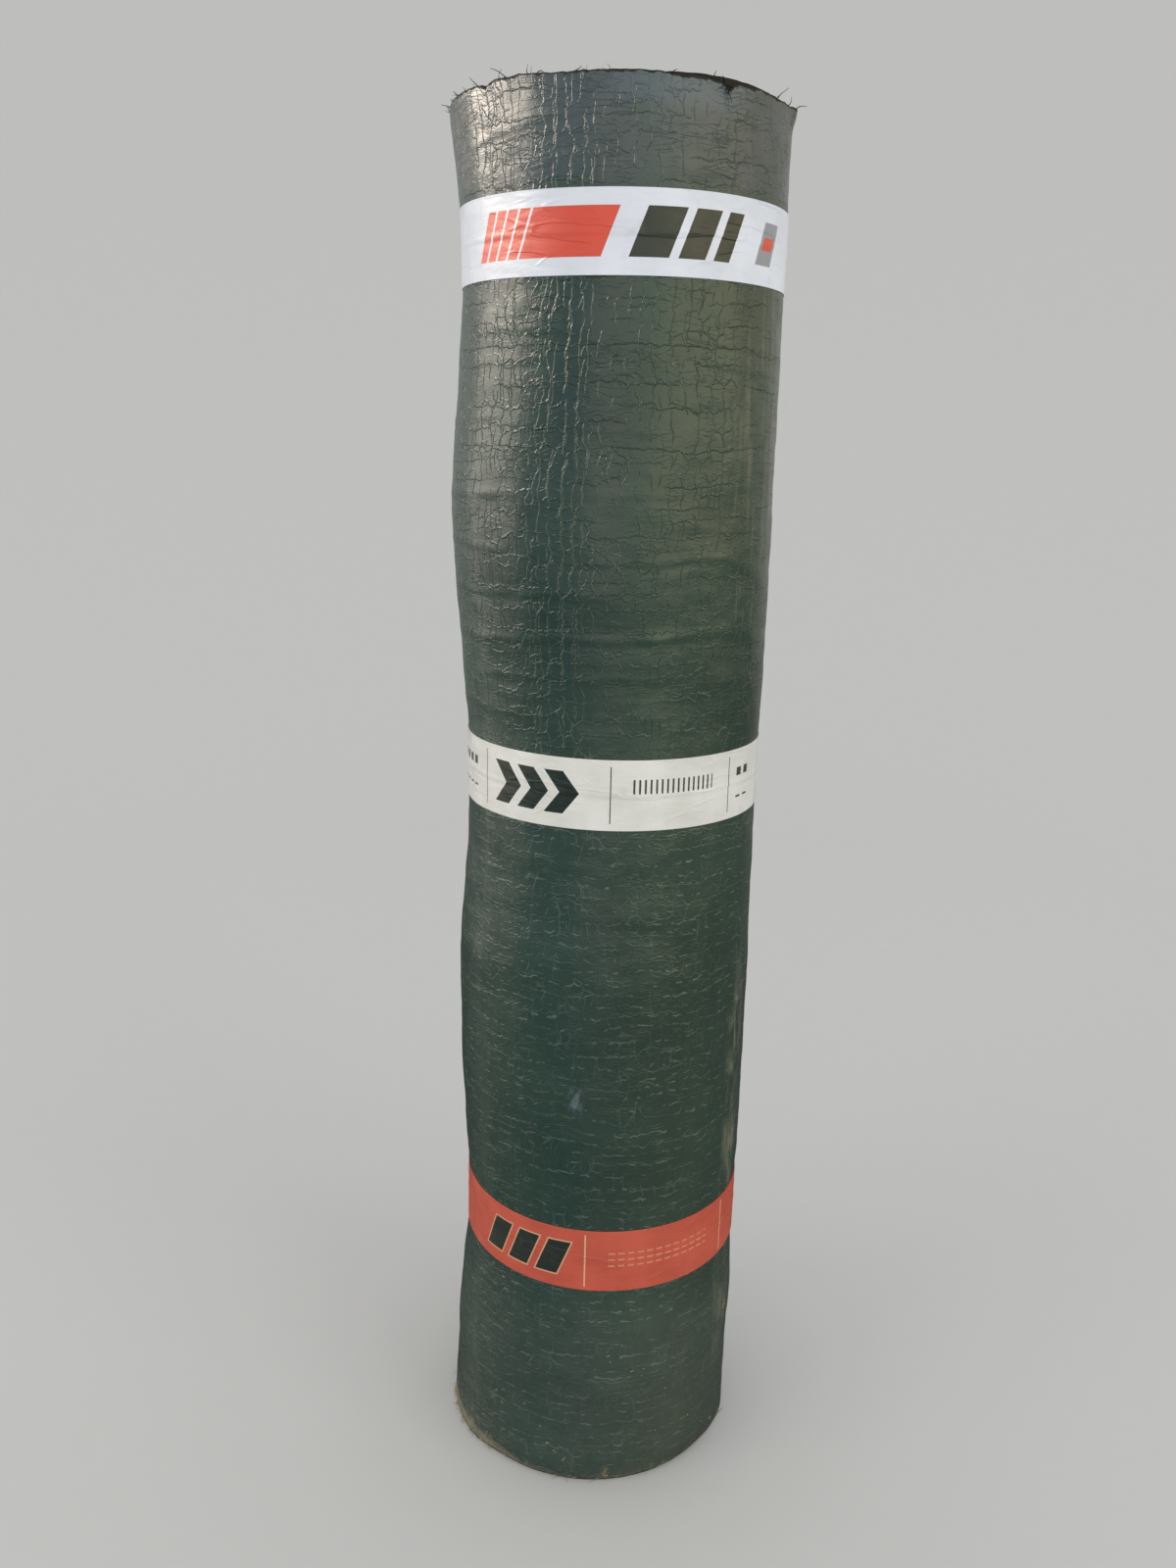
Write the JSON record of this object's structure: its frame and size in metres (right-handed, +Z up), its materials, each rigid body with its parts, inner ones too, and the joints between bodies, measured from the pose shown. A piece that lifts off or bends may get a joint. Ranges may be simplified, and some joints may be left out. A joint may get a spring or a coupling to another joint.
{
  "type": "roofing felt roll",
  "caption": "Tall roll of dark bituminous roofing felt on end, bored through, held shut by bands of tape and bowed out loosely between them.",
  "frame": {"origin": "on the winding axis, in the plane of the foot that the roll stands on", "axes": "+Z up along the winding axis; -Y towards the viewer of the picture; +X to the viewer's right"},
  "size_m": [0.2311, 0.2279, 1],
  "materials": {
    "felt": "dark green-black bitumen under a shrunk glossy film, finely crazed",
    "white_tape": "white printed film, slightly glossy, creased",
    "cream_tape": "cream printed film, slightly glossy, creased",
    "orange_tape": "orange-red printed film, slightly glossy, creased"
  },
  "bodies": {
    "root": {"felt_roll": "felt", "top_band": "white_tape", "middle_band": "cream_tape", "bottom_band": "orange_tape"}
  },
  "joints": []
}
